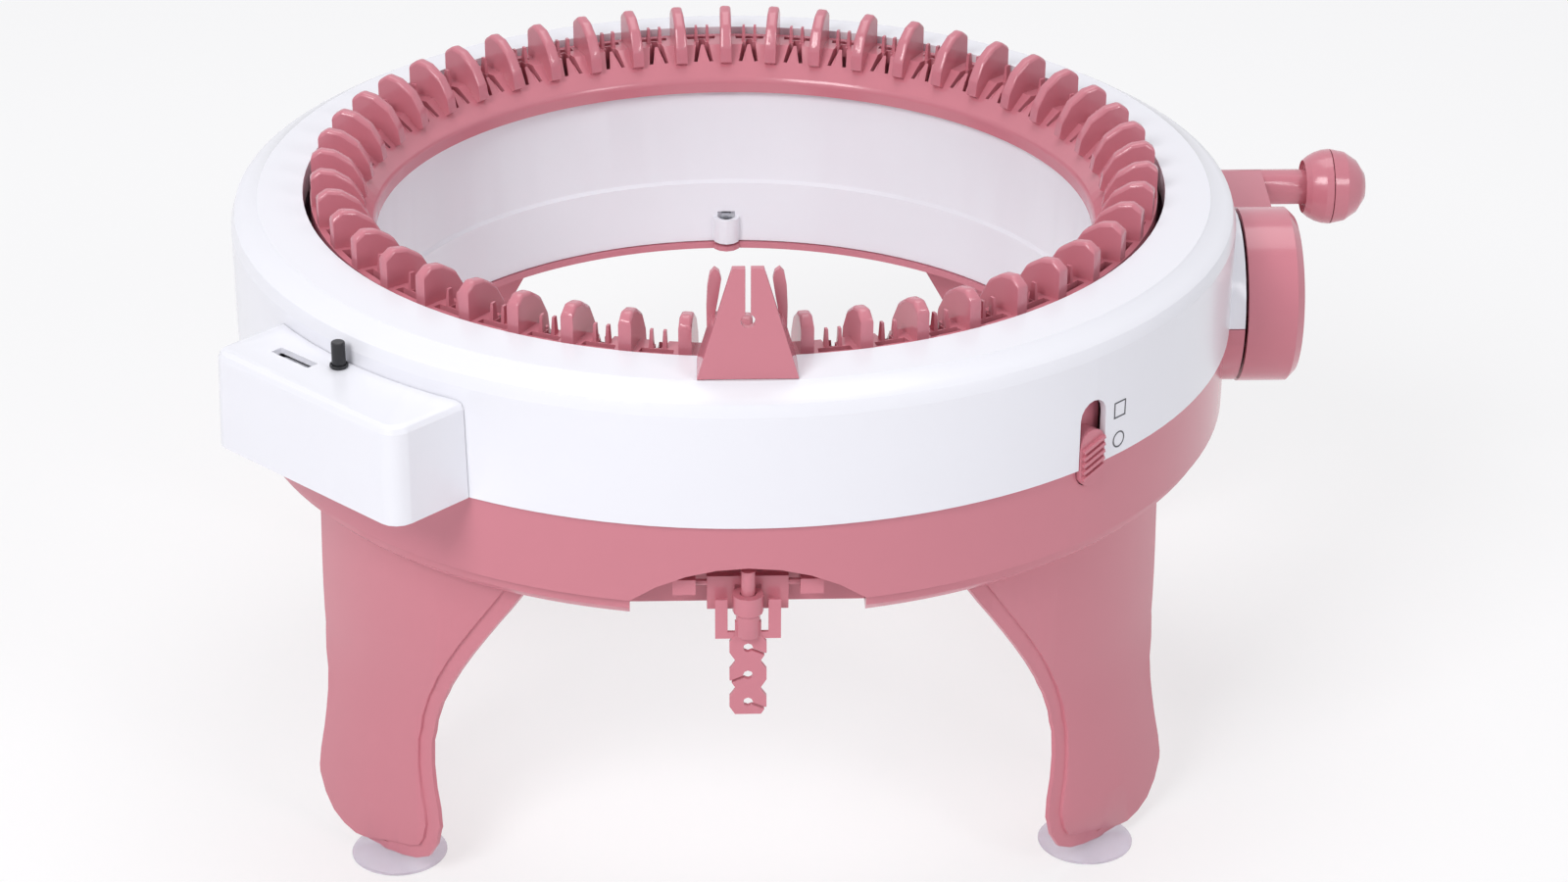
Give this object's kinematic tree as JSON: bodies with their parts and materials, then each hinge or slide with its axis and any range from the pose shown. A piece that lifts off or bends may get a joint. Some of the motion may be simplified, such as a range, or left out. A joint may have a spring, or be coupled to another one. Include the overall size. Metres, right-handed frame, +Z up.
{
  "type": "circular knitting machine",
  "caption": "Round hand-cranked knitting machine: needle bed ring in a two-part housing on legs with suction cups, ball-ended crank, row counter, yarn feeder and tension lever.",
  "frame": {"origin": "bottom centre of the machine's bounding box, on the surface it stands on", "axes": "+Z up, -Y towards the yarn feeder at the front, +X along the crank's shaft towards the crank; the needle bed's axis is upright through x -0.03175, y 0"},
  "size_m": [0.4136, 0.35, 0.2374],
  "materials": {
    "white_plastic": "smooth moulded",
    "pink_plastic": "smooth moulded",
    "nylon": "natural",
    "steel": "plain",
    "black_plastic": "moulded",
    "clear_rubber": "translucent"
  },
  "bodies": {
    "frame": {"upper_housing": "white_plastic", "lower_housing": "pink_plastic", "inner_liner": "white_plastic", "liner_screw_1": "steel", "liner_screw_2": "steel", "liner_screw_3": "steel", "cam_ring": "nylon", "crank_bush": "nylon", "yarn_feeder": "pink_plastic", "counter_case": "white_plastic", "counter_base": "white_plastic", "digit_shaft": "steel", "reset_bush": "black_plastic", "leg_front_left": "pink_plastic", "leg_front_right": "pink_plastic", "leg_rear_right": "pink_plastic", "leg_rear_left": "pink_plastic", "leg_screw_front_left": "steel", "leg_screw_front_right": "steel", "leg_screw_rear_right": "steel", "leg_screw_rear_left": "steel", "suction_cup_front_left": "clear_rubber", "suction_cup_front_right": "clear_rubber", "suction_cup_rear_right": "clear_rubber", "suction_cup_rear_left": "clear_rubber"},
    "bed": {"needle_bed": "pink_plastic", "needle_drum": "white_plastic", "crown_gear": "nylon"},
    "crank": {"crank": "pink_plastic", "crank_shaft": "steel", "drive_pinion": "nylon", "knob_screw": "steel"},
    "knob": {"knob_inner_half": "pink_plastic", "knob_outer_half": "pink_plastic"},
    "hundreds_wheel": {"digit_wheel_1": "white_plastic"},
    "tens_wheel": {"digit_wheel_2": "white_plastic"},
    "ones_wheel": {"digit_wheel_3": "white_plastic"},
    "reset_pin": {"reset_pin": "black_plastic"},
    "mode_slider": {"mode_slider": "pink_plastic"},
    "tensioner": {"tension_bracket": "pink_plastic", "tension_lever": "pink_plastic"}
  },
  "joints": [
    {"name": "bed_turn", "type": "hinge", "parent": "frame", "child": "bed", "pos_m": [-0.03175, 0, 0.15299], "axis": [0, 0, 1], "continuous": true},
    {"name": "crank_turn", "type": "hinge", "parent": "frame", "child": "crank", "pos_m": [-0.03175, 0, 0.15299], "axis": [1, 0, 0], "continuous": true},
    {"name": "knob_spin", "type": "hinge", "parent": "crank", "child": "knob", "pos_m": [0.19275, 0.07321, 0.1638], "axis": [1, 0, 0], "continuous": true},
    {"name": "hundreds_turn", "type": "hinge", "parent": "frame", "child": "hundreds_wheel", "pos_m": [-0.17982, -0.11314, 0.17524], "axis": [0.7071, -0.7071, 0], "continuous": true},
    {"name": "tens_turn", "type": "hinge", "parent": "frame", "child": "tens_wheel", "pos_m": [-0.176, -0.11696, 0.17524], "axis": [0.7071, -0.7071, 0], "continuous": true},
    {"name": "ones_turn", "type": "hinge", "parent": "frame", "child": "ones_wheel", "pos_m": [-0.17218, -0.12077, 0.17524], "axis": [0.7071, -0.7071, 0], "continuous": true},
    {"name": "reset_press", "type": "slide", "parent": "frame", "child": "reset_pin", "axis": [0, 0, -1], "range_m": [0, 0.004], "stiffness_N_per_m": 150, "springref_m": -0.002},
    {"name": "mode_slide", "type": "slide", "parent": "frame", "child": "mode_slider", "axis": [0, 0, 1], "range_m": [0, 0.01]},
    {"name": "tensioner_swing", "type": "hinge", "parent": "frame", "child": "tensioner", "pos_m": [-0.03175, -0.1635, 0.1282], "axis": [-1, 0, 0], "range_deg": [0, 60]}
  ],
  "couplings": [
    {"joint": "crank_turn", "follows": "bed_turn", "ratio": -6},
    {"joint": "ones_turn", "follows": "bed_turn", "ratio": 0.1},
    {"joint": "tens_turn", "follows": "bed_turn", "ratio": 0.01},
    {"joint": "hundreds_turn", "follows": "bed_turn", "ratio": 0.001}
  ]
}
